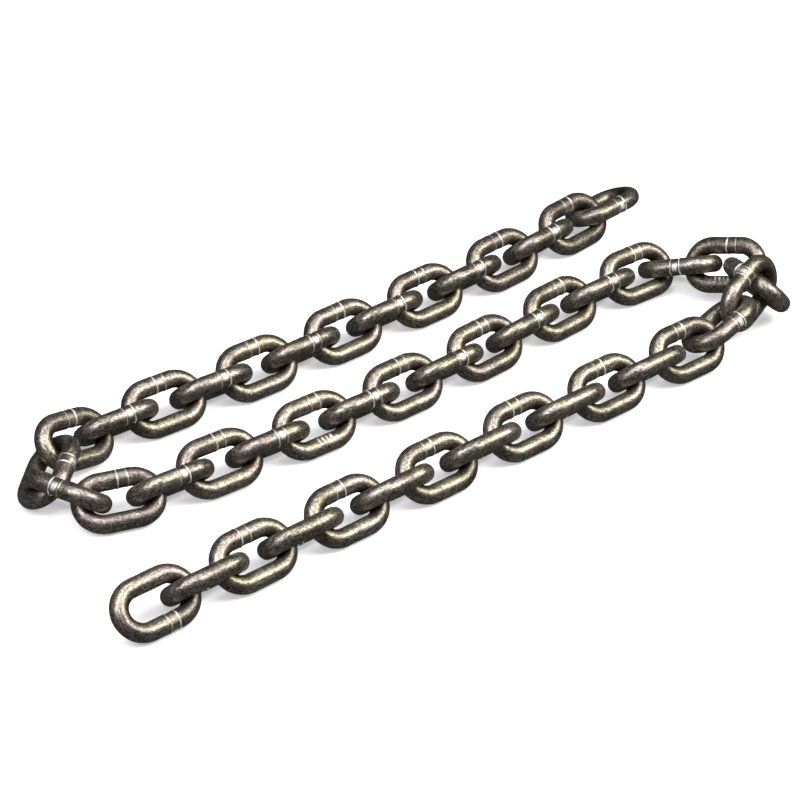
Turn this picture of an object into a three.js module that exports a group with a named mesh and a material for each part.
// A length of welded short-link lifting chain, lying on the ground in three runs.
// Each link is one closed loop of round bar, drawn here with a twelve-sided section whose
// corners lie on the round bar's surface. Neighbouring links stand a quarter turn apart and
// lean 45 degrees either way, so that a link rests on the underside of one leg. Millimetres
// and degrees, +Z up.
import * as THREE from 'three';

// Driving dimensions
const WIRE = 10; // diameter of the bar
const PITCH = 30; // spacing of neighbouring links in a taut run
const GAP = 0.3; // daylight between two crowns that bear on each other
const OUTER_WIDTH = 33; // across the two legs of a link
const SECTION_SIDES = 12; // a flat faces the inside of the crown, where a hook bears
const CROWN_STEPS = 12; // steps round the two crowns together
const LEAN = 45; // roll of a link about its long axis

// Worked out from the driving dimensions
const HALF_WIRE = WIRE / 2;
const INNER_LENGTH = PITCH + GAP;
const HALF_LENGTH = (INNER_LENGTH + WIRE) / 2; // link centre to the middle of a crown bar
const CROWN_RADIUS = (OUTER_WIDTH - WIRE) / 2; // centreline of the bar round a crown
const HALF_LEG = HALF_LENGTH - CROWN_RADIUS; // half of the straight leg
const CROWN_OVERLAP = WIRE + GAP; // how far one link reaches into the next
const REST_HEIGHT = CROWN_RADIUS * Math.sin(THREE.MathUtils.degToRad(LEAN)) + HALF_WIRE;

// Where the chain lies. Places are measured from the centre of link 1, and headings turn
// from +X towards +Y. Headings in a run go evenly from each value to the next.
const RUNS = [
  { first: 1, last: 13, start: [0, 0], lean: LEAN, headings: [0, 0, -0.5, -1] },
  { first: 19, last: 30, start: [396, 75], lean: -LEAN, headings: [177, 185, 180, 177, 175] },
  { first: 35, last: 46, start: [77.5, 141.5], lean: -LEAN, headings: [-3, -4.2, -4.3, -2, -0.7, 0, 0, 0.2, 1.3, 2.8, 4.5, 5.8] },
];

// Links of the two folds: number, x, y, rise of the centre above the centres of the links
// in the runs, heading, climb, roll.
const FOLDS = [
  [14, 388, 1, 4.25, 4, 14, -25],
  [15, 416, 6, 11, 13, 18, -101],
  [16, 433, 16, 5.5, 81, -2, 49],
  [17, 432, 40, 8, 114, -14, -49],
  [18, 420, 64, 0.5, 121, -17, 27],
  [31, 38, 84, -1.5, 160, 0, -35],
  [32, 20, 103, 2.25, 109, 1, 41],
  [33, 24, 126, 0.25, 39, 10, -32],
  [34, 49, 139, 2.75, 7, -13, 45],
];

// The free end link of the back run has rolled flatter than its neighbours, in the same terms.
const LAST_LINK = [47, 434, 144, 0.5, 2, 2, -23];

// The link's long axis is X, its legs are at +Y and -Y, and its crowns at +X and -X.
// A ring turned from the bar's section is pulled apart at X = 0 to make the legs. The
// ring's corners are moved out so that its flat segments lie on the true crown radius.
function linkGeometry() {
  const halfStep = Math.PI / CROWN_STEPS;
  const halfSide = Math.PI / SECTION_SIDES;
  const section = [];
  for (let side = 0; side <= SECTION_SIDES; side += 1) {
    const angle = (2 * (side % SECTION_SIDES) + 1) * halfSide;
    const outward = CROWN_RADIUS + HALF_WIRE * Math.cos(angle);
    section.push(new THREE.Vector2(outward / Math.cos(halfStep), HALF_WIRE * Math.sin(angle)));
  }
  const geometry = new THREE.LatheGeometry(section, CROWN_STEPS, halfStep, 2 * Math.PI);
  geometry.rotateX(Math.PI / 2);
  const position = geometry.getAttribute('position');
  for (let vertex = 0; vertex < position.count; vertex += 1) {
    const x = position.getX(vertex);
    position.setX(vertex, x + Math.sign(x) * HALF_LEG);
  }
  geometry.computeVertexNormals();
  return geometry;
}

function direction(heading) {
  const angle = THREE.MathUtils.degToRad(heading);
  return new THREE.Vector2(Math.cos(angle), Math.sin(angle));
}

// The headings of a run's links, evenly between the run's own key values.
function runHeadings(keys, count) {
  const headings = [];
  for (let link = 0; link < count; link += 1) {
    const place = (link / (count - 1)) * (keys.length - 1);
    const key = Math.min(Math.floor(place), keys.length - 2);
    headings.push(THREE.MathUtils.lerp(keys[key], keys[key + 1], place - key));
  }
  return headings;
}

// A taut run: each link's crown reaches CROWN_OVERLAP into the link before it.
function layRun({ first, last, start, lean, headings }) {
  const angles = runHeadings(headings, last - first + 1);
  const centre = new THREE.Vector2(...start);
  const placed = [];
  angles.forEach((heading, step) => {
    if (step > 0) {
      const before = direction(angles[step - 1]);
      const after = direction(heading);
      const between = before.clone().add(after).normalize();
      centre.addScaledVector(before, HALF_LENGTH).addScaledVector(after, HALF_LENGTH);
      centre.addScaledVector(between, -CROWN_OVERLAP);
    }
    const roll = step % 2 === 0 ? lean : -lean;
    placed.push({ number: first + step, x: centre.x, y: centre.y, z: REST_HEIGHT, heading, climb: 0, roll });
  });
  return placed;
}

function makeLink({ number, x, y, z, heading, climb, roll }) {
  const steel = new THREE.MeshStandardMaterial({ color: 0x6f6a62, roughness: 0.42, metalness: 0.9 });
  const link = new THREE.Mesh(linkGeometry(), steel);
  link.name = `link_${String(number).padStart(2, '0')}`;
  link.position.set(x, y, z);
  const [turn, tilt, spin] = [heading, -climb, roll].map(THREE.MathUtils.degToRad);
  link.rotation.set(spin, tilt, turn, 'ZYX');
  return link;
}

const placed = RUNS.flatMap(layRun);
for (const [number, x, y, rise, heading, climb, roll] of [...FOLDS, LAST_LINK]) {
  placed.push({ number, x, y, z: REST_HEIGHT + rise, heading, climb, roll });
}
placed.sort((a, b) => a.number - b.number);

const chain = new THREE.Group();
for (const link of placed) {
  chain.add(makeLink(link));
}

// The origin is on the ground under the middle of the laid-out chain.
const extent = new THREE.Box3().setFromObject(chain, true);
const middle = extent.getCenter(new THREE.Vector3());
chain.position.set(-middle.x, -middle.y, -extent.min.z);

export default chain;
